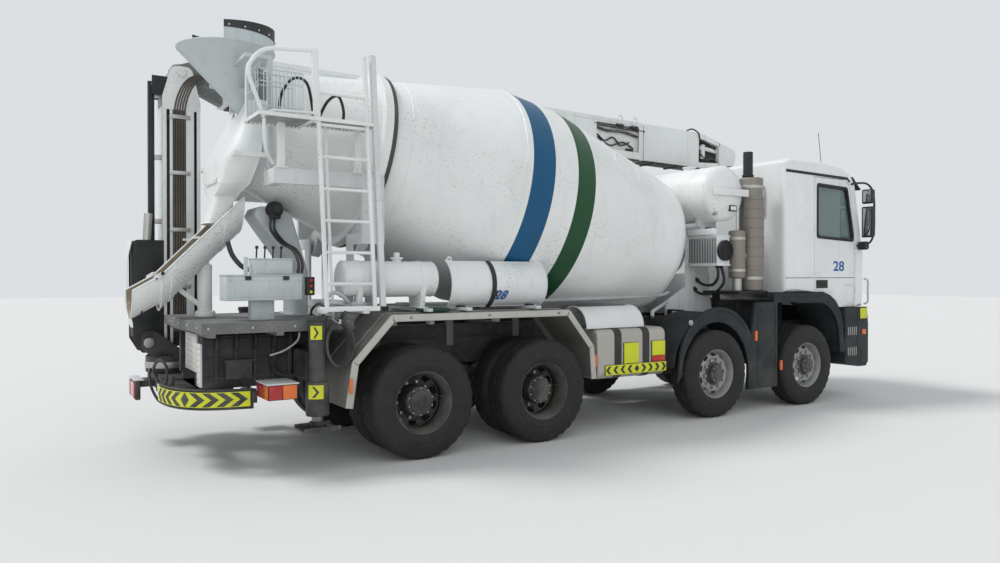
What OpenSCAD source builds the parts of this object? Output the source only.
/* [Wheels] */
// Outer radius of every tyre
tyre_r = 515; // [505:1:520]
// Width across one tyre
tyre_w = 300; // [285:1:305]
// Radius of the rim that carries the tyre
rim_r = 286; // [280:1:290]
// Centre line to the middle of the outer tyres
track_half = 1085; // [1080:1:1090]
// Spacing of the two tyres of a twin wheel
twin_gap = 345; // [330:1:350]
// Distance of the first axle ahead of the rear axle
axle_1_x = 5550; // [5530:5:5570]
// Distance of the second axle ahead of the rear axle
axle_2_x = 3850; // [3835:5:3865]
// Distance of the third axle ahead of the rear axle
axle_3_x = 1350; // [1330:5:1370]

/* [Steering] */
// Kingpins inside the middle of the tyres
kingpin_in = 205; // [200:1:210]
// Kingpin radius
kingpin_r = 25; // [20:1:28]
// Stub axle radius in the hubs
stub_r = 42; // [36:1:46]

/* [Chassis] */
// Outer face of each frame rail from the centre line
rail_y = 430; // [420:1:440]
// Width of a frame rail's flange
rail_w = 75; // [60:1:80]
// Depth of the frame rails
rail_h = 270; // [240:1:280]
// Height of the top of the frame rails
rail_top = 1030; // [1020:1:1040]
// Depth of the mixer subframe that lies on the rails
subframe_h = 140; // [130:1:150]

/* [Cab] */
// Width across the cab sides
cab_w = 2280; // [2240:5:2300]
// Rear wall of the cab ahead of the rear axle
cab_rear_x = 5190; // [5150:5:5200]
// Thickness of the cab walls and doors
cab_wall = 50; // [40:1:55]
// Bumper face ahead of the rear axle
front_x = 6950; // [6940:5:7000]
// Door's rear edge
door_rear_x = 5785; // [5770:5:5800]
// Door's front edge
door_front_x = 6700; // [6680:5:6720]
// Gap round each door
door_gap = 8; // [6:1:10]

/* [Drum] */
// Largest radius of the drum shell
drum_r = 1200; // [1150:5:1205]
// Tilt of the drum's axis, front end down
drum_tilt = 11.5; // [11:0.1:12]
// Height of the drum's underside above the rear axle, measured from its axis
drum_low = 1607; // [1600:1:1650]
// Radius of the drum's mouth
mouth_r = 560; // [530:5:565]
// Radius of the roller ring
ring_r = 900; // [890:1:910]
// Radius of the front end of the front cone
head_r = 900; // [850:5:910]

/* [Discharge] */
// Swivel axis of the chute, behind the rear axle
chute_x = -1650; // [-1655:1:-1640]
// Outer radius of the chute trough
chute_r = 225; // [222:1:230]
// Sheet thickness of the chutes
chute_t = 10; // [6:1:12]
// Slope of the chute below level
chute_slope = 45.6; // [45:0.1:46]
// Rim radius of the feed hopper
hopper_r = 432; // [425:1:436]
// Height of the hopper's rim
hopper_z = 3765; // [3760:1:3775]

/* [Conveyor] */
// Slewing axis behind the rear axle
slew_x = -1780; // [-1790:1:-1770]
// Centre plane of the belt boom
belt_y = 1085; // [1080:1:1090]
// Width of the belt boom
boom_w = 310; // [300:1:315]
// Depth of the belt boom
boom_h = 540; // [500:5:560]
// Height of the fold hinge at the top of the mast
fold_z = 3750; // [3740:5:3790]

/* [Outriggers] */
// Centre of each outrigger leg behind the rear axle
leg_x = -985; // [-990:1:-980]
// Centre line to the outrigger legs
leg_y = 1150; // [1145:1:1155]
// Radius of the sliding leg
leg_r = 50; // [45:1:55]

/* [Hidden] */
$fn = 64;

// Places that follow from the driving sizes
rear_x = -2290;
origin_x = (front_x + rear_x) / 2;
wheel_z = tyre_r;
rail_bottom = rail_top - rail_h;
rail_in = rail_y - rail_w;
deck_z = rail_top + subframe_h;
kingpin_y = track_half - kingpin_in;
hub_in = track_half - 525;
hub_out = track_half + 45;
drum_z = drum_low + drum_r;
tank_y = 270 - drum_r;
spare_y = 325 - drum_r;
cab_side = cab_w / 2;
run_gap = 0.05;
seat_gap = 0.3;
clear = 8;

// A box between two corners
module block(x, y, z) {
    translate([x[0], y[0], z[0]])
        cube([x[1] - x[0], y[1] - y[0], z[1] - z[0]]);
}

// The children and their mirror image across the centre line
module both_sides() {
    children();
    mirror([0, 1, 0]) children();
}

// A round bar along Y through (x, z)
module bar_y(r, x, z, y) {
    translate([x, y[1], z]) rotate([90, 0, 0]) cylinder(r = r, h = y[1] - y[0]);
}

// A round bar along X through (y, z)
module bar_x(r, y, z, x) {
    translate([x[0], y, z]) rotate([0, 90, 0]) cylinder(r = r, h = x[1] - x[0]);
}

// A round bar from point a to point b
module rod(a, b, r) {
    d = b - a;
    translate(a)
        rotate([0, acos(d[2] / norm(d)), atan2(d[1], d[0])])
            cylinder(r = r, h = norm(d), $fn = 24);
}

// A pipe through a list of points, with round elbows
module pipe(points, r) {
    for (i = [0 : len(points) - 2]) rod(points[i], points[i + 1], r);
    for (p = points) translate(p) sphere(r = r + 1, $fn = 24);
}

// A plate whose outline is drawn in X and Z, from y[0] to y[1]
module plate_xz(points, y) {
    translate([0, y[1], 0]) rotate([90, 0, 0])
        linear_extrude(height = y[1] - y[0]) polygon(points);
}

// Unit vector and left normal in a plane
function unit(v) = v / norm(v);
function left(v) = [-v[1], v[0]];

// Points of an open line moved to their left by t
function shifted(p, t) = [
    for (i = [0 : len(p) - 1])
        let (
            a = left(unit(i > 0 ? p[i] - p[i - 1] : p[1] - p[0])),
            b = left(unit(i < len(p) - 1 ? p[i + 1] - p[i] : p[i] - p[i - 1])),
            m = a + b
        ) p[i] + m * (2 * t / (m * m))
];
function reversed(p) = [for (i = [len(p) - 1 : -1 : 0]) p[i]];

// A bent sheet of thickness t that follows an open line in X and Z
module sheet_xz(points, t, y) {
    plate_xz(concat(points, reversed(shifted(points, t))), y);
}

// Points of an elliptical arc in X and Z
function arc(cx, cz, a, b, from, to, n) = [
    for (i = [0 : n]) let (t = from + (to - from) * i / n)
        [cx + a * cos(t), cz + b * sin(t)]
];

// A rounded rectangle between two corners in its plane
module rounded(a, b, r) {
    translate([a[0] + r, a[1]]) square([b[0] - a[0] - 2 * r, b[1] - a[1]]);
    translate([a[0], a[1] + r]) square([b[0] - a[0], b[1] - a[1] - 2 * r]);
    for (x = [a[0] + r, b[0] - r], y = [a[1] + r, b[1] - r])
        translate([x, y]) circle(r = r, $fn = 32);
}

// A solid along X with a rounded section drawn in Y and Z
module prism_x(x, a, b, r) {
    translate([x[0], 0, 0]) rotate([90, 0, 90])
        linear_extrude(height = x[1] - x[0]) rounded(a, b, r);
}

// Puts the finished truck's middle over the origin
module placed() {
    translate([-origin_x, 0, 0]) children();
}

// Chassis frame: two rails and their cross members
frame_rear_x = -1800;
frame_front_x = 6650;
cross_xs = [-1700, -500, 675, 2000, 3300, 6550];
module chassis_frame() {
    color("dimgray") {
        both_sides()
            block([frame_rear_x, frame_front_x], [rail_in, rail_y], [rail_bottom, rail_top]);
        for (x = cross_xs)
            block([x - 40, x + 40], [-rail_in, rail_in], [rail_bottom + 60, rail_top - 60]);
    }
}

// Mixer subframe: rails, cross plates and the rear deck over the tail
subframe_front_x = 4700;
deck_x = [-1900, -620];
deck_y = [-1060, 640];
deck_top = 1290;
deck_t = 12;
bar_xs = [-560, 60, 480, 1280];
bar_z = [1340, 1370];
post_pin_r = 40;
module mixer_subframe() {
    color("gainsboro") {
        both_sides()
            block([frame_rear_x, subframe_front_x], [rail_in, rail_y], [rail_top, deck_z]);
        for (x = [-1600, -900, 0, 1350, 2600, 4300])
            block([x - 50, x + 50], [-rail_in, rail_in], [rail_top + 20, deck_z]);
    }
}

// Bars across the right rail that carry the side tank and the spare chute
module side_bars() {
    color("gainsboro") for (x = bar_xs) {
        block([x - 30, x + 30], [-drum_r, -rail_in], bar_z);
        block([x - 30, x + 30], [-rail_y, -rail_in], [deck_z, bar_z[0]]);
    }
}

// Deck over the tail with its edge frame and the socket of the chute's post
module tail_deck() {
    color("gainsboro") difference() {
        union() {
            block(deck_x, deck_y, [deck_top - deck_t, deck_top]);
            block([deck_x[0], deck_x[0] + 20], deck_y, [1200, deck_top]);
            block(deck_x, [deck_y[0], deck_y[0] + 20], [1200, deck_top]);
            block(deck_x, [deck_y[1] - 20, deck_y[1]], [1200, deck_top]);
            for (x = [-1850, -1300, -700])
                block([x, x + 60], deck_y, [deck_z, deck_top - deck_t]);
            translate([chute_x, 0, 1190]) cylinder(r = 75, h = deck_top - 1190);
        }
        translate([chute_x, 0, 1180]) cylinder(r = post_pin_r + run_gap, h = 200);
    }
}

// Engine and gearbox as one plain block between the rails
module engine_block() {
    color("gray") {
        block([5250, 6240], [-300, 300], [680, 1320]);
        block([4400, 5250], [-220, 220], [660, 1020]);
        for (x = [5400, 6100]) block([x, x + 80], [-rail_in, rail_in], [820, 960]);
    }
}

// Steered axle: beam, kingpin eyes and leaf springs under the rails
beam_z = [440, 550];
spring_len = 760;
module steered_axle(x) {
    block([x - 50, x + 50], [-kingpin_y, kingpin_y], beam_z);
    both_sides() {
        translate([x, kingpin_y, beam_z[0]]) cylinder(r = 52, h = beam_z[1] - beam_z[0]);
        block([x - spring_len, x + spring_len], [rail_y - 85, rail_y], [beam_z[1] + 10, 630]);
        block([x - 70, x + 70], [rail_y - 85, rail_y], [beam_z[1], 660]);
        for (s = [-1, 1])
            block([x + s * (spring_len - 40) - 35, x + s * (spring_len - 40) + 35],
                  [rail_y - 70, rail_y - 10], [620, rail_bottom]);
    }
}
module front_axles() {
    color("dimgray") difference() {
        for (x = [axle_1_x, axle_2_x]) steered_axle(x);
        both_sides() for (x = [axle_1_x, axle_2_x])
            translate([x, kingpin_y, beam_z[0] - 1])
                cylinder(r = kingpin_r + run_gap, h = beam_z[1] - beam_z[0] + 2);
    }
}

// Driven axle: tube, differential and the stub axles in the hubs
module driven_axle(x) {
    bar_y(75, x, wheel_z, [-hub_in, hub_in]);
    both_sides() bar_y(stub_r, x, wheel_z, [hub_in, hub_out]);
    translate([x, 0, wheel_z]) sphere(r = 190);
    bar_x(90, 0, wheel_z + 40, [x, x + 330]);
}
module rear_axles() {
    bogie_x = axle_3_x / 2;
    color("dimgray") {
        for (x = [0, axle_3_x]) driven_axle(x);
        both_sides() {
            plate_xz([[-60, 560], [60, 560], [bogie_x, 650], [axle_3_x - 60, 560],
                      [axle_3_x + 60, 560], [bogie_x + 150, rail_bottom - 10],
                      [bogie_x - 150, rail_bottom - 10]],
                     [rail_y - 85, rail_y]);
            block([bogie_x - 90, bogie_x + 90], [rail_y - 85, rail_y], [rail_bottom - 20, rail_bottom]);
        }
        rod([300, 0, wheel_z + 40], [axle_3_x - 100, 0, wheel_z + 30], 45);
        rod([axle_3_x + 300, 0, wheel_z + 40], [4385, 0, 820], 50);
        block([4380, 4400], [-60, 60], [760, 880]);
    }
}

// Fuel tank on the right, with its straps and brackets
tank_x = [2040, 3030];
module fuel_tank() {
    color("silver") {
        prism_x(tank_x, [-1200, 570], [-560, 1100], 90);
        for (x = [tank_x[0] + 260, tank_x[1] - 260]) {
            prism_x([x - 40, x + 40], [-1208, 562], [-552, 1108], 98);
            block([x - 30, x + 30], [-560, -rail_y], [820, 960]);
        }
    }
}

// Battery box and air bottles on the left
module battery_box() {
    color("dimgray") {
        prism_x([2040, 2760], [520, 560], [1190, 1080], 30);
        for (y = [700, 1000]) bar_x(130, y, 820, [2760, 3080]);
        for (x = [2200, 2600]) block([x - 30, x + 30], [rail_y, 530], [820, 960]);
    }
}

// Mudguards of the two steered axles: outer skins with open arches, and liners
guard_y = [1150, 1200];
arch_r = 578;
panel_front_x = 4972;
liner_y = [640, guard_y[0]];
module front_mudguards() {
    color("darkslategray") both_sides() {
        plate_xz(concat([[3230, 430]],
                        reversed(arc(axle_2_x + 60, 600, 660, 700, 30, 165, 10)),
                        [[4560, 1340], [panel_front_x, 1340], [panel_front_x, 280], [4415, 280]],
                        arc(axle_2_x, wheel_z, arch_r, 620, 0, 180, 16)), guard_y);
        plate_xz(concat([[4900, 1450], [5900, 1450]],
                        reversed(arc(5900, 900, 450, 550, 0, 80, 8)),
                        [[6400, 640], [6290, 640]],
                        arc(5780, 860, 480, 470, 10, 90, 8),
                        [[5320, 1330], [4900, 1330]]), guard_y);
    }
}
module mudguard_liners() {
    arch_1 = concat([[6290, 640]], arc(5780, 860, 480, 470, 10, 90, 8),
                    [[5320, 1330], [4960, 1330], [4890, 1200], [4890, 600]]);
    color("darkslategray") both_sides() {
        sheet_xz(arc(axle_2_x, wheel_z, 665, 725, 8, 172, 14), 12, liner_y);
        sheet_xz(arch_1, -12, liner_y);
        // Brackets from the rails to the liners
        for (b = [[axle_1_x, 1342], [axle_2_x, 1250]]) {
            block([b[0] - 30, b[0] + 30], [rail_y, rail_y + 25], [rail_top - 100, b[1]]);
            block([b[0] - 30, b[0] + 30], [rail_y, 660], [b[1] - 20, b[1]]);
        }
    }
}

// Rear mudguards: folded sheet over the twin wheels
module rear_mudguards() {
    path = [[-770, 540], [-710, 930], [-340, 1325], [1640, 1325], [1960, 940], [1990, 600]];
    color("gray") both_sides() {
        sheet_xz(path, 15, [560, 1240]);
        for (x = [-150, 675, 1500]) {
            block([x - 40, x + 40], [rail_y, 620], [1290, 1325]);
            block([x - 40, x + 40], [rail_y, rail_y + 30], [rail_top - 80, 1325]);
        }
    }
}

// Cab outline in X and Z: outside, and the hollow inside it
cab_roof = 3190;
cab_front = 6900;
cab_out = [
    [cab_rear_x, 1460], [5990, 1460], [6250, 1340], [6330, 1250], [cab_front - 10, 1250],
    [cab_front, 1500], [cab_front + 20, 2000], [cab_front - 20, 2130], [6720, 2920],
    [6620, 3060], [6420, 3150], [6000, cab_roof], [5300, cab_roof], [cab_rear_x, 3150]
];
module cab_hollow() {
    plate_xz([[cab_rear_x + cab_wall, 1510], [6000, 1510], [6300, 1400], [6380, 1300],
              [cab_front - 70, 1300], [cab_front - 50, 2000], [cab_front - 80, 2110],
              [6660, 2900], [6580, 3010], [6400, 3095], [6000, 3140], [5300, 3140],
              [cab_rear_x + cab_wall, 3110]],
             [-cab_side + cab_wall, cab_side - cab_wall]);
}
function door_outline(g) = [
    [door_rear_x + g, 1460 - 10 + g], [5990, 1450 + g], [6250 + g, 1340 + g], [6340, 1240 + g],
    [door_front_x - g, 1240 + g], [door_front_x - g, 2110], [6560 - g, 2930 - g],
    [6440, 2985 - g], [door_rear_x + g, 2985 - g]
];
hinge_r = 12;
hinge_pin_r = 6;
hinge_zs = [1500, 2000];
hinge_x = door_front_x - door_gap;
hinge_y = cab_side + hinge_r + 4;
screen_y = [-1030, 1030];
screen_cut = [[6640, 2880], [6790, 2120], [7000, 2120], [7000, 2880]];
window = [
    [5860, 2190], [6640, 2160], [6640, 2230], [6500, 2860], [5860, 2880]
];
module cab_shell() {
    color("whitesmoke") {
        difference() {
            plate_xz(cab_out, [-cab_side, cab_side]);
            cab_hollow();
            both_sides() plate_xz(door_outline(0), [cab_side - cab_wall - 1, cab_side + 1]);
            plate_xz(screen_cut, screen_y);
        }
        both_sides() {
            // Mounts on the rails and the cab's halves of the door hinges
            block([5220, 5300], [rail_in, rail_y], [rail_top, 1460]);
            block([6480, 6600], [rail_in, rail_y], [rail_top, 1250]);
            for (z = hinge_zs) {
                difference() {
                    block([door_front_x, door_front_x + 30], [cab_side, hinge_y + hinge_r], [z - 50, z + 50]);
                    block([door_front_x - 1, door_front_x + 12], [cab_side + 0.5, hinge_y + 50],
                          [z - 25 - seat_gap, z + 25 + seat_gap]);
                }
                for (s = [z - 50, z + 25 + seat_gap]) translate([hinge_x, hinge_y, s])
                    cylinder(r = hinge_r, h = 25 - seat_gap);
                translate([hinge_x, hinge_y, z - 50]) cylinder(r = hinge_pin_r, h = 100);
            }
        }
    }
}
module windscreen() {
    color("lightblue", 0.4)
        plate_xz([[6842, 2120], [6854, 2120], [6700, 2880], [6688, 2880]], screen_y);
}
module door(y_sign) {
    mirror([0, y_sign < 0 ? 1 : 0, 0]) difference() {
        union() {
            plate_xz(door_outline(door_gap), [cab_side - cab_wall, cab_side]);
            for (z = hinge_zs) {
                translate([hinge_x, hinge_y, z - 25]) cylinder(r = hinge_r, h = 50);
                block([hinge_x - 28, hinge_x], [cab_side, hinge_y + 6], [z - 25, z + 25]);
            }
        }
        plate_xz(window, [cab_side - cab_wall - 1, cab_side + 1]);
        for (z = hinge_zs) translate([hinge_x, hinge_y, z - 30])
            cylinder(r = hinge_pin_r + run_gap, h = 60);
    }
}
module door_right() { color("whitesmoke") door(-1); }
module door_left() { color("whitesmoke") door(1); }
module side_glass(y_sign) {
    mirror([0, y_sign < 0 ? 1 : 0, 0])
        plate_xz(window, [cab_side - 30, cab_side - 24]);
}
module glass_right() { color("lightblue", 0.4) side_glass(-1); }
module glass_left() { color("lightblue", 0.4) side_glass(1); }

// Bumper with the corner steps and the towing sockets
tow_x = 6820;
tow_y = 400;
tow_z = 420;
tow_r = 20.5;
tow_depth = 120;
module bumper() {
    color("dimgray") difference() {
        union() {
            plate_xz([[6720, 420], [6900, 420], [front_x, 480], [front_x, 1000],
                      [front_x - 30, 1240], [6720, 1240]], [-1180, 1180]);
            both_sides()
                plate_xz([[6415, 480], [6720, 420], [6720, 1240], [6425, 1240]], [960, 1180]);
            block([frame_front_x, 6720], [-rail_y, rail_y], [rail_bottom, rail_top]);
        }
        // Towing sockets, open below
        both_sides() translate([tow_x, tow_y, tow_z - 1]) cylinder(r = tow_r, h = tow_depth + 1);
    }
}
module grille() {
    color("darkslategray") {
        plate_xz([[6892, 1300], [6900, 1500], [6920, 2000], [6932, 2000], [6912, 1500], [6904, 1300]],
                 [-850, 850]);
        for (i = [0 : 5])
            block([6905 + i * 4, 6922 + i * 4], [-800, 800], [1330 + i * 110, 1370 + i * 110]);
    }
}

// Mirrors, their arms and the sun visor
mirror_y = 1330;
module mirrors() {
    arm_y = mirror_y - 60;
    color("black") {
        both_sides() {
            block([6740, 6820], [mirror_y - 120, mirror_y + 20], [2200, 2620]);
            block([6740, 6820], [mirror_y - 120, mirror_y + 20], [2660, 2860]);
            bar_y(12, 6650, 2900, [cab_side, arm_y + 6]);
            bar_y(12, 6780, 2120, [cab_side, arm_y + 6]);
            bar_x(10, arm_y, 2900, [6640, 6785]);
            translate([6780, arm_y, 2104]) cylinder(r = 14, h = 810);
        }
        plate_xz([[6700, 3040], [6730, 3050], [6930, 2880], [6915, 2870]], [-1080, 1080]);
        for (y = [-900, 0, 900])
            plate_xz([[6641.6, 3030], [6634.5, 3040], [6712, 3044], [6722, 3034]], [y - 20, y + 20]);
    }
}

// Cab inside: two seats, the dashboard and the steering wheel
module cab_interior() {
    color("dimgray") {
        for (y = [-560, 560]) {
            block([5700, 6200], [y - 240, y + 240], [1510, 1900]);
            block([5560, 5700], [y - 230, y + 230], [1510, 2650]);
        }
        block([6450, 6820], [-1070, 1070], [1800, 2080]);
        block([6720, 6820], [-1090, 1090], [1800, 2080]);
        translate([6330, 560, 2060]) rotate([0, -62, 0]) {
            rotate_extrude() translate([220, 0]) circle(r = 16, $fn = 24);
            block([-220, 220], [-20, 20], [-8, 8]);
        }
        rod([6330, 560, 2060], [6500, 560, 1960], 24);
    }
}

// Exhaust: upright silencer, lower cylinder and stack
module exhaust() {
    color("silver") {
        translate([4850, -880, 1480]) cylinder(r = 150, h = 1440);
        translate([4560, -900, 1640]) cylinder(r = 105, h = 600);
        translate([4560, -900, 1480]) cylinder(r = 60, h = 200);
        rod([4560, -900, 1900], [4850, -880, 1900], 50);
        translate([4790, -880, 2920]) cylinder(r = 62, h = 330);
        block([4480, 5030], [-1000, -410], [1440, 1480]);
        block([4700, 5030], [-410, -rail_in], [1440, 1480]);
        block([4710, 4790], [-rail_y, -rail_in], [rail_top, 1440]);
    }
}

// Water tank across the truck behind the cab
tank_r = 345;
tank_cx = 4345;
tank_cz = 2700;
module water_tank() {
    color("whitesmoke")
        translate([tank_cx, 0, tank_cz]) rotate([90, 0, 0]) rotate_extrude()
            polygon(concat([[0, -950]],
                           [for (t = [10 : 20 : 90]) [tank_r * sin(t), -850 - 100 * cos(t)]],
                           [for (t = [90 : -20 : 10]) [tank_r * sin(t), 850 + 100 * cos(t)]],
                           [[0, 950]]));
}

// A point on the drum's axis, s ahead of the rear axle, and the drum's own frame
function on_axis(s) = [s * cos(drum_tilt), 0, drum_z - s * sin(drum_tilt)];
module drum_frame(s = 0) {
    translate(on_axis(s)) rotate([0, 90 + drum_tilt, 0]) children();
}
mouth_s = -1250;
cone_s = 1140;
shell_s = 1830;
head_s = 3610;
dome = 460;
flange_s = head_s + dome + 30;
spindle_r = 90;
ring_s = [-280, -150];
roller_r = 140;
roller_angle = 35;

// Drum: rear cone, shell, front cone, dished head, roller ring and spindle
module drum() {
    color("whitesmoke") drum_frame() difference() {
        rotate_extrude($fn = 96) polygon(concat(
            [[0, mouth_s], [mouth_r + 20, mouth_s], [mouth_r + 20, mouth_s + 50],
             [mouth_r + 13, mouth_s + 50]],
            [[ring_root(ring_s[0]), ring_s[0]], [ring_r, ring_s[0]], [ring_r, ring_s[1]],
             [ring_root(ring_s[1]), ring_s[1]]],
            [[drum_r, cone_s], [drum_r, shell_s]],
            [for (t = [0 : 15 : 75]) [head_r * cos(t), head_s + dome * sin(t)]],
            [[220, flange_s - 20], [220, flange_s], [spindle_r, flange_s],
             [spindle_r, flange_s + 120], [0, flange_s + 120]]));
        translate([0, 0, mouth_s - 1]) cylinder(r = mouth_r - 60, h = 401);
    }
}
function ring_root(s) = mouth_r + (drum_r - mouth_r) * (s - mouth_s) / (cone_s - mouth_s);

// Front pedestal with the drum's gearbox, which also carries the water tank
module front_pedestal() {
    gear_s = flange_s + 8;
    color("gainsboro") difference() {
        union() {
            drum_frame(gear_s) cylinder(r = 250, h = 300);
            both_sides()
                plate_xz([[3830, deck_z], [4680, deck_z], [4600, 1540], [4600, 2240],
                          [4200, 2240], [4200, 1540], [3830, 1350]], [365, 395]);
            block([4180, 4620], [-395, 395], [deck_z, 1700]);
            block([4250, 4300], [-395, 395], [2060, 2240]);
            // Saddles of the water tank on two cross bars
            for (x = [4220, 4420]) block([x, x + 50], [-640, 640], [2240, 2300]);
            both_sides() block([4180, 4510], [560, 600], [2300, 2480]);
        }
        drum_frame(gear_s - 1) cylinder(r = spindle_r + run_gap, h = 130);
        bar_y(tank_r, tank_cx, tank_cz, [-700, 700]);
    }
}

// Oil cooler with its fan on the right of the pedestal
module oil_cooler() {
    color("whitesmoke") {
        block([4210, 4440], [-900, -395], [1790, 2180]);
        bar_y(120, 4325, 1985, [-930, -900]);
    }
}

// Rear pedestal: the two drum rollers under the ring and the side beams to the rear
side_beam_y = [880, 940];
side_beam_z = [2460, 2590];
beam_rear_x = -1290;
module rear_pedestal() {
    ring_mid = (ring_s[0] + ring_s[1]) / 2;
    reach = ring_r + roller_r + 0.5;
    c = on_axis(ring_mid);
    ry = reach * sin(roller_angle);
    rz = c[2] - reach * cos(roller_angle) * cos(drum_tilt);
    rx = c[0] - reach * cos(roller_angle) * sin(drum_tilt);
    color("gainsboro") {
        block([rx - 100, rx + 100], [-550, 550], [deck_z, 1310]);
        block([rx - 60, rx + 60], [-500, 500], [1310, 1350]);
        block([rx - 105, rx + 105], [-680, 680], [1350, 1420]);
        both_sides() {
            for (x = [rx - 105, rx + 81]) {
                block([x, x + 24], [ry - 70, ry + 70], [1420, rz + 50]);
                block([x, x + 24], [ry, side_beam_y[1]], [1960, rz + 50]);
            }
            block([rx - 105, rx + 105], side_beam_y, [1960, side_beam_z[1]]);
            block([beam_rear_x, rx + 105], side_beam_y, side_beam_z);
            block([beam_rear_x, beam_rear_x + 100], [640, side_beam_y[1]], side_beam_z);
        }
        drum_frame(ring_mid) for (s = [-1, 1]) {
            rotate([0, 0, s * roller_angle]) translate([reach, 0, -45])
                cylinder(r = roller_r, h = 90);
            rotate([0, 0, s * roller_angle]) translate([reach, 0, -110])
                cylinder(r = 30, h = 220);
        }
    }
}

// Feed hopper: a cone that leans back over the drum's mouth, its spout and its raised collar
hopper_x = -1456;
hopper_t = 8;
rear_slope = 0.95;
front_slope = 0.70;
cone_drop = 2 * hopper_r / (rear_slope + front_slope);
apex = [hopper_x - hopper_r + rear_slope * cone_drop, hopper_z - cone_drop];
cone_flare = (atan(rear_slope) + atan(front_slope)) / 2;
cone_lean = (atan(rear_slope) - atan(front_slope)) / 2;
spout_r = 128;
spout_run = unit([rear_slope, -1]);
spout_top = apex - spout_run * 136 + left(spout_run) * (spout_r - 4);
spout_end = spout_top + spout_run * 424;
function in_xz(p) = [p[0], 0, p[1]];

// The funnel up to a height, with its radius less by w
module funnel(w, top) {
    tip_r = 60;
    tip = tip_r / tan(cone_flare);
    tall = 600;
    intersection() {
        translate(in_xz(apex)) rotate([0, -cone_lean, 0])
            translate([0, 0, tip - w / 10])
                cylinder(r1 = tip_r - w, r2 = (tip + tall) * tan(cone_flare) - w, h = tall);
        block([hopper_x - 700, hopper_x + 500], [-600, 600], [apex[1], top]);
    }
}
// The splash collar round the front of the rim, between two angles
module collar() {
    tall = 220;
    from = -106;
    to = 122;
    translate([hopper_x, 0, hopper_z]) intersection() {
        difference() {
            translate([0, 0, -10]) cylinder(r = hopper_r + 4, h = tall + 10);
            translate([0, 0, -11]) cylinder(r = hopper_r - 4, h = tall + 12);
        }
        translate([0, 0, -12]) linear_extrude(height = tall + 20)
            polygon([[0, 0], for (a = [from : (to - from) / 4 : to]) 700 * [cos(a), sin(a)]]);
    }
}
module feed_hopper() {
    color("gainsboro") {
        difference() {
            union() {
                funnel(0, hopper_z);
                translate([hopper_x, 0, hopper_z - 20]) cylinder(r = hopper_r + 8, h = 20);
                rod(in_xz(spout_top), in_xz(spout_end), spout_r);
                both_sides() block([-1465, -1425], [200, 680], [3560, 3600]);
            }
            funnel(hopper_t / cos(cone_flare), hopper_z + 1);
            rod(in_xz(spout_top + spout_run * 2), in_xz(spout_end + spout_run * 10), spout_r - hopper_t);
        }
        collar();
        // Posts on the side beams
        both_sides() {
            block([beam_rear_x + 20, beam_rear_x + 70], [640, 690], [side_beam_z[1], 3600]);
            block([-1465, beam_rear_x + 30], [645, 685], [3560, 3600]);
        }
    }
}

// A solid whose outline is drawn in Y and Z on both sides, from x[0] to x[1]
module across(points, x) {
    translate([x[0], 0, 0]) rotate([90, 0, 90]) linear_extrude(height = x[1] - x[0])
        polygon(concat(points, [for (p = reversed(points)) [-p[0], p[1]]]));
}

// Collector that guides the concrete from the mouth down to the chute
arm_z = [2700, 2750];
module collector() {
    outer = [[-1520, 2150], [-1665, 2150], [-1600, 2350], [-1580, 2720], [-1340, 3250],
             [-1205, 3250], [-1362, 2478], [-1400, 2450]];
    inner = [[-1537, 2140], [-1653, 2140], [-1589, 2350], [-1568, 2717], [-1300, 3309],
             [-1100, 3309], [-1100, 2520], [-1340, 2512], [-1408, 2462]];
    wide = [[160, 2150], [165, 2400], [380, 2425], [615, 2720], [440, 3250]];
    hollow = [[148, 2140], [153, 2412], [373, 2437], [602, 2721], [424, 3309]];
    color("whitesmoke") {
        difference() {
            intersection() {
                plate_xz(outer, [-640, 640]);
                across(wide, [-1700, -1100]);
            }
            intersection() {
                plate_xz(inner, [-640, 640]);
                across(hollow, [-1700, -1000]);
            }
            rod(in_xz(spout_top - spout_run * 100), in_xz(spout_end), spout_r + 17);
        }
        // Arms on the posts
        both_sides() {
            block([-1560, beam_rear_x + 20], [640, 690], arm_z);
            block([-1560, -1510], [600, 650], arm_z);
        }
    }
}

// Fixed leg behind the drum: flat head with the hydraulic motor, and a slanted foot
module rear_leg() {
    color("gainsboro") {
        plate_xz([[-1255, 2240], [-1215, 2320], [-1015, 2320], [-900, 2255], [-740, 1710],
                  [-740, deck_top], [-870, deck_top], [-870, 1710], [-1170, 2120]], [-200, 200]);
        bar_y(65, -1085, 2290, [-330, -190]);
        bar_y(40, -1085, 2290, [-390, -330]);
    }
}

// Service platform with rails and cage, and the ladder down to the deck
module platform() {
    rail_r = 18;
    ladder_y = -1150;
    lean = 100;
    top_z = 3570;
    foot_z = 1400;
    color("gainsboro") {
        block([-1480, -1000], [-1180, -710], [2980, 3005]);
        block([-1000, -420], [-1180, -830], [2980, 3005]);
        for (x = [-1250, -560]) block([x, x + 60], [-940, -880], [side_beam_z[1], 2980]);
        for (x = [-1000, -560])
            rod([x, ladder_y, top_z], [x + lean, ladder_y, foot_z], 22);
        for (i = [0 : 6]) {
            z = 1600 + i * 270;
            shift = lean * (top_z - z) / (top_z - foot_z);
            bar_x(13, ladder_y, z, [-1000 + shift, -560 + shift]);
        }
        pipe([[-1000, ladder_y, top_z], [-1450, ladder_y, 3500]], rail_r);
        rod([-1450, ladder_y, 3500], [-1460, ladder_y, 2990], rail_r - 1);
        rod([-1460, -735, 2990], [-1460, -735, 3500], rail_r - 1);
        bar_y(rail_r - 2, -1455, 3490, [ladder_y, -720]);
        block([-470, -420], [-1180, -1130], [foot_z, 3620]);
        // Foot step on the first bar and on the deck
        block([-960, -420], [-1180, -1110], [bar_z[1], foot_z]);
        block([-960, -900], [-1180, -1000], [bar_z[1], foot_z]);
        block([-960, -900], [-1060, -1000], [deck_top, bar_z[1]]);
    }
}

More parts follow.
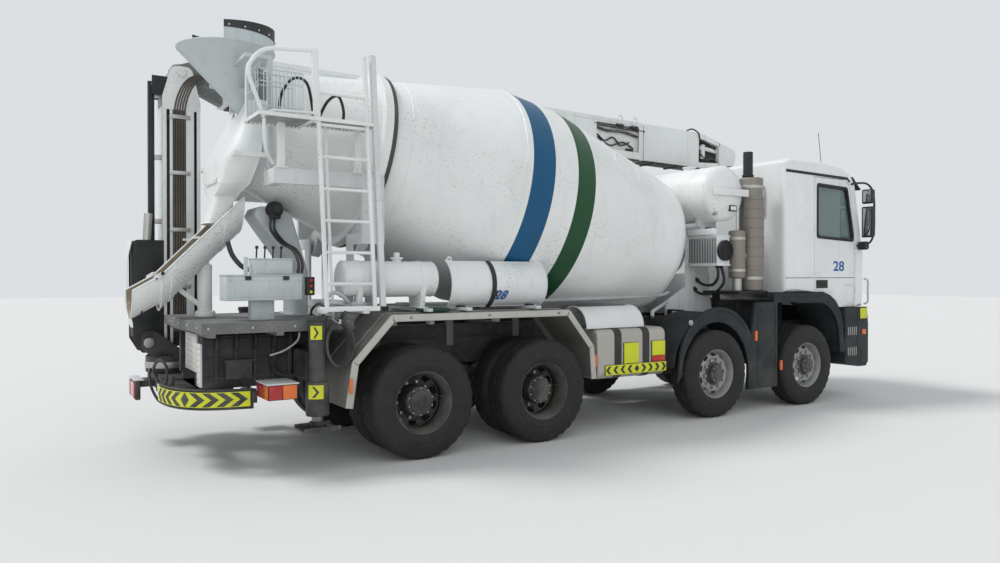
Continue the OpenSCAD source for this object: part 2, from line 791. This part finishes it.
// Side tank on the right, on two feet
module side_tank() {
    color("whitesmoke") {
        bar_x(165, tank_y, 1640, [-720, 230]);
        for (x = [bar_xs[0], bar_xs[1]])
            block([x - 30, x + 30], [tank_y - 110, tank_y + 110], [bar_z[1], 1560]);
        translate([-150, tank_y, 1780]) cylinder(r = 45, h = 70);
    }
}

// Spare chute lengths: one beside the drum, one on the fuel tank
module half_pipe(r, t, length, cut = 0) {
    rotate([0, 90, 0]) difference() {
        cylinder(r = r, h = length);
        translate([0, 0, -1]) cylinder(r = r - t, h = length + 2);
        translate([-2 * r, -r - 1, -1]) cube([2 * r + cut, 2 * r + 2, length + 2]);
    }
}
module spare_chutes() {
    r = 245;
    cut = 110;
    color("whitesmoke") {
        translate([330, spare_y, bar_z[1] + sqrt(r * r - cut * cut)]) rotate([-90, 0, 0])
            half_pipe(r, 8, 1100, cut);
        translate([1950, -900, 1108]) rotate([180, 0, 0]) half_pipe(230, 8, 800);
    }
}

// Black box under the deck with the slotted rear panel
module tool_box() {
    color("black") {
        block([-1830, -1075], [-750, -rail_y], [720, deck_z]);
        for (x = [-1700, -1400, -1150]) block([x - 20, x + 20], [-765, -750], [760, 1130]);
        block([-1850, -1830], [-750, -50], [720, deck_z]);
    }
}

// Light grey control boxes above the deck on the right
module side_box() {
    color("lightgray") {
        block([-1670, -1030], [-900, -650], [1460, 1680]);
        block([-1440, -1100], [-850, -700], [1680, 1820]);
        block([-1450, -1250], [-820, -720], [deck_top, 1460]);
    }
}

// Tail bar: the conveyor's arm, the lamps and the round guard
arm_top = 692;
slew_pin_r = 70;
module tail_bar() {
    guard = [[-2060, -100], [-2000, -500], [-1800, -760], [-1450, -860]];
    color("black") {
        difference() {
            block([-1960, -1560], [rail_in, 1290], [arm_top - 132, arm_top]);
            translate([slew_x, belt_y, 500]) cylinder(r = slew_pin_r + run_gap, h = 300);
        }
        both_sides() block([-1780, -1500], [rail_in, rail_y], [560, rail_bottom]);
        block([-2150, -2090], [800, 1200], [450, 640]);
        block([-2090, -1960], [850, 1150], [570, 630]);
        translate([0, 0, 550]) linear_extrude(height = 170)
            polygon(concat(guard, reversed(shifted(guard, 15))));
        block([-2020, -1780], [-rail_y, -rail_in], [590, 680]);
        block([-1420, -1160], [-1180, -850], [640, 780]);
        block([-1460, -1420], [-900, -850], [600, 700]);
    }
}

// Outrigger sleeves on both sides with their cross beam
leg_foot_z = 370;
module outrigger_sleeves() {
    color("black") both_sides() difference() {
        union() {
            translate([leg_x, leg_y, 770]) cylinder(r = 75, h = 560);
            translate([leg_x, leg_y, 490]) cylinder(r = 98, h = 280);
            block([leg_x - 80, leg_x + 80], [rail_y, leg_y - 60], [rail_bottom + 20, rail_top]);
        }
        translate([leg_x, leg_y, 480]) cylinder(r = leg_r + run_gap, h = 800);
    }
}
module leg(side) {
    mirror([0, side < 0 ? 1 : 0, 0]) {
        translate([leg_x, leg_y, leg_foot_z + 20]) cylinder(r = leg_r, h = 780);
        block([leg_x - 160, leg_x + 160], [leg_y - 130, leg_y + 130], [leg_foot_z, leg_foot_z + 25]);
    }
}
module leg_right() { color("dimgray") leg(-1); }
module leg_left() { color("dimgray") leg(1); }

// Swivel chute on its post
chute_top_z = 2090;
chute_up = 300;
chute_end_x = -2050;
flap_x = -2054;
flap_z = 1690;
flap_slope = 30;
flap_pin_r = 8;
module trough(x, slope, place) {
    intersection() {
        translate(place) rotate([0, 270 - slope, 0]) difference() {
            translate([0, 0, -1500]) cylinder(r = chute_r, h = 3000);
            translate([0, 0, -1501]) cylinder(r = chute_r - chute_t, h = 3002);
            translate([0, -chute_r - 1, -1501]) cube([2 * chute_r, 2 * chute_r + 2, 3002]);
        }
        block(x, [-300, 300], [1200, 2600]);
    }
}
module chute() {
    ear = [[flap_x - 14, flap_z - 2], [flap_x - 9, flap_z + 13], [flap_x + 8, flap_z + 16],
           [flap_x + 24, flap_z + 8], [flap_x + 24, flap_z - 40], [flap_x + 4, flap_z - 40],
           [flap_x + 4, flap_z - 8], [flap_x - 6, flap_z - 11]];
    color("gainsboro") {
        trough([chute_end_x, chute_x + chute_up], chute_slope, [chute_x, 0, chute_top_z]);
        difference() {
            union() {
                translate([chute_x, 0, 1200]) cylinder(r = post_pin_r, h = 150);
                translate([chute_x, 0, deck_top + seat_gap]) cylinder(r = 60, h = 560);
                translate([chute_x, 0, deck_top + seat_gap]) cylinder(r = 90, h = 50);
                rod([chute_x, 0, 1360], [-1890, 0, 1560], 22);
            }
            translate([chute_x, 0, chute_top_z]) rotate([0, 270 - chute_slope, 0])
                translate([0, 0, -1000]) cylinder(r = chute_r - chute_t / 2, h = 2000);
        }
        both_sides() {
            plate_xz(ear, [chute_r - chute_t + 1, chute_r + 13]);
            bar_y(flap_pin_r, flap_x, flap_z, [chute_r, chute_r + 31]);
        }
    }
}
module chute_flap() {
    ear_y = [chute_r + 15, chute_r + 27];
    ear = [[flap_x - 12, flap_z + 14], [flap_x + 12, flap_z + 14], [flap_x + 14, flap_z - 8],
           [flap_x - 32, flap_z - 56], [flap_x - 62, flap_z - 56], [flap_x - 62, flap_z - 20]];
    color("gainsboro") {
        trough([rear_x, flap_x - 4], flap_slope, [flap_x, 0, flap_z - 13]);
        both_sides() difference() {
            union() {
                plate_xz(ear, ear_y);
                block([flap_x - 60, flap_x - 34], [chute_r - chute_t + 1, ear_y[1]],
                      [flap_z - 54, flap_z - 38]);
            }
            bar_y(flap_pin_r + run_gap, flap_x, flap_z, [ear_y[0] - 1, ear_y[1] + 1]);
        }
    }
}

// Belt conveyor: turret, mast, folded boom and its telescopic end
luff_x = -2000;
luff_z = 1000;
cheek = 25;
turret_z = [arm_top + seat_gap, 860];
belt_side = boom_w / 2;
module turret() {
    y = belt_side + clear;
    color("black") {
        translate([slew_x, belt_y, turret_z[0]]) cylinder(r = 225, h = turret_z[1] - turret_z[0]);
        translate([slew_x, belt_y, 565]) cylinder(r = slew_pin_r, h = turret_z[1] - 565);
        for (s = [-1, 1])
            plate_xz([[slew_x - 180, turret_z[1]], [slew_x + 160, turret_z[1]], [luff_x + 60, 1120],
                      [luff_x - 60, 1120], [luff_x - 70, 940]],
                     [belt_y + s * (y + cheek / 2) - cheek / 2, belt_y + s * (y + cheek / 2) + cheek / 2]);
        bar_y(28, luff_x, luff_z, [belt_y - y - cheek, belt_y + y + cheek]);
    }
}
mast_x = [-1860, -1500];
mast_z = [900, 3400];
fold_x = -1680;
module mast() {
    color("gray") difference() {
        union() {
            block(mast_x, [belt_y - belt_side, belt_y + belt_side], mast_z);
            plate_xz([[-2060, 900], [mast_x[0], 900], [mast_x[0], 2030], [-2140, 2030], [-2140, 1040]],
                     [belt_y - belt_side, belt_y + belt_side]);
            for (s = [-1, 1])
                plate_xz([[mast_x[0], 3400], [mast_x[1], 3400], [fold_x + 90, fold_z + 60],
                          [fold_x - 90, fold_z + 60]],
                         [belt_y + s * (belt_side - 12) - 12, belt_y + s * (belt_side - 12) + 12]);
            bar_y(30, fold_x, fold_z, [belt_y - belt_side, belt_y + belt_side]);
        }
        bar_y(28 + run_gap, luff_x, luff_z, [belt_y - belt_side - 1, belt_y + belt_side + 1]);
    }
}
boom_x = [-1260, 4680];
boom_drop = 1.0;
inner_w = 240;
inner_h = 400;
module boom_frame() {
    translate([fold_x, belt_y, fold_z]) rotate([0, boom_drop, 0])
        translate([-fold_x, 0, 0]) children();
}
module boom() {
    color("whitesmoke") boom_frame() difference() {
        union() {
            block(boom_x, [-belt_side, belt_side], [-boom_h / 2, boom_h / 2]);
            plate_xz([[fold_x - 90, -80], [fold_x + 60, -110], [boom_x[0], -boom_h / 2],
                      [boom_x[0], boom_h / 2], [fold_x, 100], [fold_x - 90, 80]], [-90, 90]);
        }
        bar_y(30 + run_gap, fold_x, 0, [-100, 100]);
        block([1400, boom_x[1] + 1], [-inner_w / 2 - seat_gap, inner_w / 2 + seat_gap],
              [-inner_h / 2 - seat_gap, inner_h / 2 + seat_gap]);
    }
}
module boom_inner() {
    color("whitesmoke") boom_frame() {
        block([1420, 4700], [-inner_w / 2, inner_w / 2], [-inner_h / 2, inner_h / 2]);
        plate_xz([[4700, -270], [5900, -270], [6650, -170], [6700, 0], [6650, 80], [5900, 270],
                  [4700, 270]], [-belt_side, belt_side]);
    }
}

// Steering knuckle on the kingpin, with the stub axle of the hub
module knuckle(x, side) {
    mirror([0, side < 0 ? 1 : 0, 0]) {
        for (z = [[beam_z[0] - 46, beam_z[0] - seat_gap], [beam_z[1] + seat_gap, beam_z[1] + 46]])
            translate([x, kingpin_y, z[0]]) cylinder(r = 52, h = z[1] - z[0]);
        translate([x, kingpin_y, beam_z[0] - 46]) cylinder(r = kingpin_r, h = beam_z[1] - beam_z[0] + 92);
        difference() {
            block([x - 50, x + 50], [kingpin_y, kingpin_y + 85], [beam_z[0] - 46, beam_z[1] + 46]);
            translate([x, kingpin_y, beam_z[0] - seat_gap])
                cylinder(r = 62, h = beam_z[1] - beam_z[0] + 2 * seat_gap);
            block([x - 60, x + 60], [kingpin_y - 1, kingpin_y + 30],
                  [beam_z[0] - seat_gap, beam_z[1] + seat_gap]);
        }
        bar_y(stub_r, x, wheel_z, [kingpin_y + 80, hub_out]);
    }
}
module knuckle_1_right() { color("dimgray") knuckle(axle_1_x, -1); }
module knuckle_1_left() { color("dimgray") knuckle(axle_1_x, 1); }
module knuckle_2_right() { color("dimgray") knuckle(axle_2_x, -1); }
module knuckle_2_left() { color("dimgray") knuckle(axle_2_x, 1); }

// Tyre section: width along the axle, radius from the axle
function tyre_section(y) = [
    [rim_r, y - tyre_w / 2 + 30], [rim_r + 60, y - tyre_w / 2], [tyre_r - 60, y - tyre_w / 2],
    [tyre_r, y - tyre_w / 2 + 25], [tyre_r, y + tyre_w / 2 - 25], [tyre_r - 60, y + tyre_w / 2],
    [rim_r + 60, y + tyre_w / 2], [rim_r, y + tyre_w / 2 - 30]
];
module turned_about_y(x) {
    translate([x, 0, wheel_z]) rotate([-90, 0, 0]) rotate_extrude($fn = 48) children();
}
hub_r = 140;
module front_wheel(x, side) {
    mirror([0, side < 0 ? 1 : 0, 0]) turned_about_y(x) {
        polygon(tyre_section(track_half));
        polygon([[stub_r + run_gap, kingpin_y + 110], [hub_r, kingpin_y + 110],
                 [hub_r, track_half + 60], [rim_r - 30, track_half + 20],
                 [rim_r - 30, track_half - 120], [rim_r, track_half - 120],
                 [rim_r, track_half + 120], [rim_r - 30, track_half + 120],
                 [rim_r - 30, track_half + 50],
                 [hub_r, track_half + 90], [110, track_half + 90], [110, track_half + 150],
                 [0, track_half + 150], [0, hub_out + 5], [stub_r + run_gap, hub_out + 5]]);
    }
}
module rear_wheel(x, side) {
    inner = track_half - twin_gap;
    mirror([0, side < 0 ? 1 : 0, 0]) turned_about_y(x) {
        for (y = [inner, track_half]) polygon(tyre_section(y));
        polygon([[stub_r + run_gap, hub_in + 10], [hub_r, hub_in + 10], [hub_r, track_half - 200],
                 [rim_r - 30, track_half - 180], [rim_r - 30, inner - 120], [rim_r, inner - 120],
                 [rim_r, track_half + 120], [rim_r - 30, track_half + 120],
                 [rim_r - 30, track_half - 150], [hub_r, track_half - 160],
                 [hub_r, track_half + 60], [0, track_half + 60], [0, hub_out + 5],
                 [stub_r + run_gap, hub_out + 5]]);
    }
}
module wheel_1_right() { color("dimgray") front_wheel(axle_1_x, -1); }
module wheel_1_left() { color("dimgray") front_wheel(axle_1_x, 1); }
module wheel_2_right() { color("dimgray") front_wheel(axle_2_x, -1); }
module wheel_2_left() { color("dimgray") front_wheel(axle_2_x, 1); }
module wheel_3_right() { color("dimgray") rear_wheel(axle_3_x, -1); }
module wheel_3_left() { color("dimgray") rear_wheel(axle_3_x, 1); }
module wheel_4_right() { color("dimgray") rear_wheel(0, -1); }
module wheel_4_left() { color("dimgray") rear_wheel(0, 1); }

placed() chassis_frame();
placed() mixer_subframe();
placed() tail_deck();
placed() side_bars();
placed() engine_block();
placed() front_axles();
placed() rear_axles();
placed() fuel_tank();
placed() battery_box();
placed() front_mudguards();
placed() mudguard_liners();
placed() rear_mudguards();
placed() cab_shell();
placed() windscreen();
placed() bumper();
placed() grille();
placed() mirrors();
placed() cab_interior();
placed() exhaust();
placed() water_tank();
placed() front_pedestal();
placed() oil_cooler();
placed() rear_pedestal();
placed() feed_hopper();
placed() collector();
placed() rear_leg();
placed() platform();
placed() side_tank();
placed() spare_chutes();
placed() tool_box();
placed() side_box();
placed() tail_bar();
placed() outrigger_sleeves();
placed() door_right();
placed() door_left();
placed() glass_right();
placed() glass_left();
placed() drum();
placed() chute();
placed() chute_flap();
placed() turret();
placed() mast();
placed() boom();
placed() boom_inner();
placed() leg_right();
placed() leg_left();
placed() knuckle_1_right();
placed() knuckle_1_left();
placed() knuckle_2_right();
placed() knuckle_2_left();
placed() wheel_1_right();
placed() wheel_1_left();
placed() wheel_2_right();
placed() wheel_2_left();
placed() wheel_3_right();
placed() wheel_3_left();
placed() wheel_4_right();
placed() wheel_4_left();
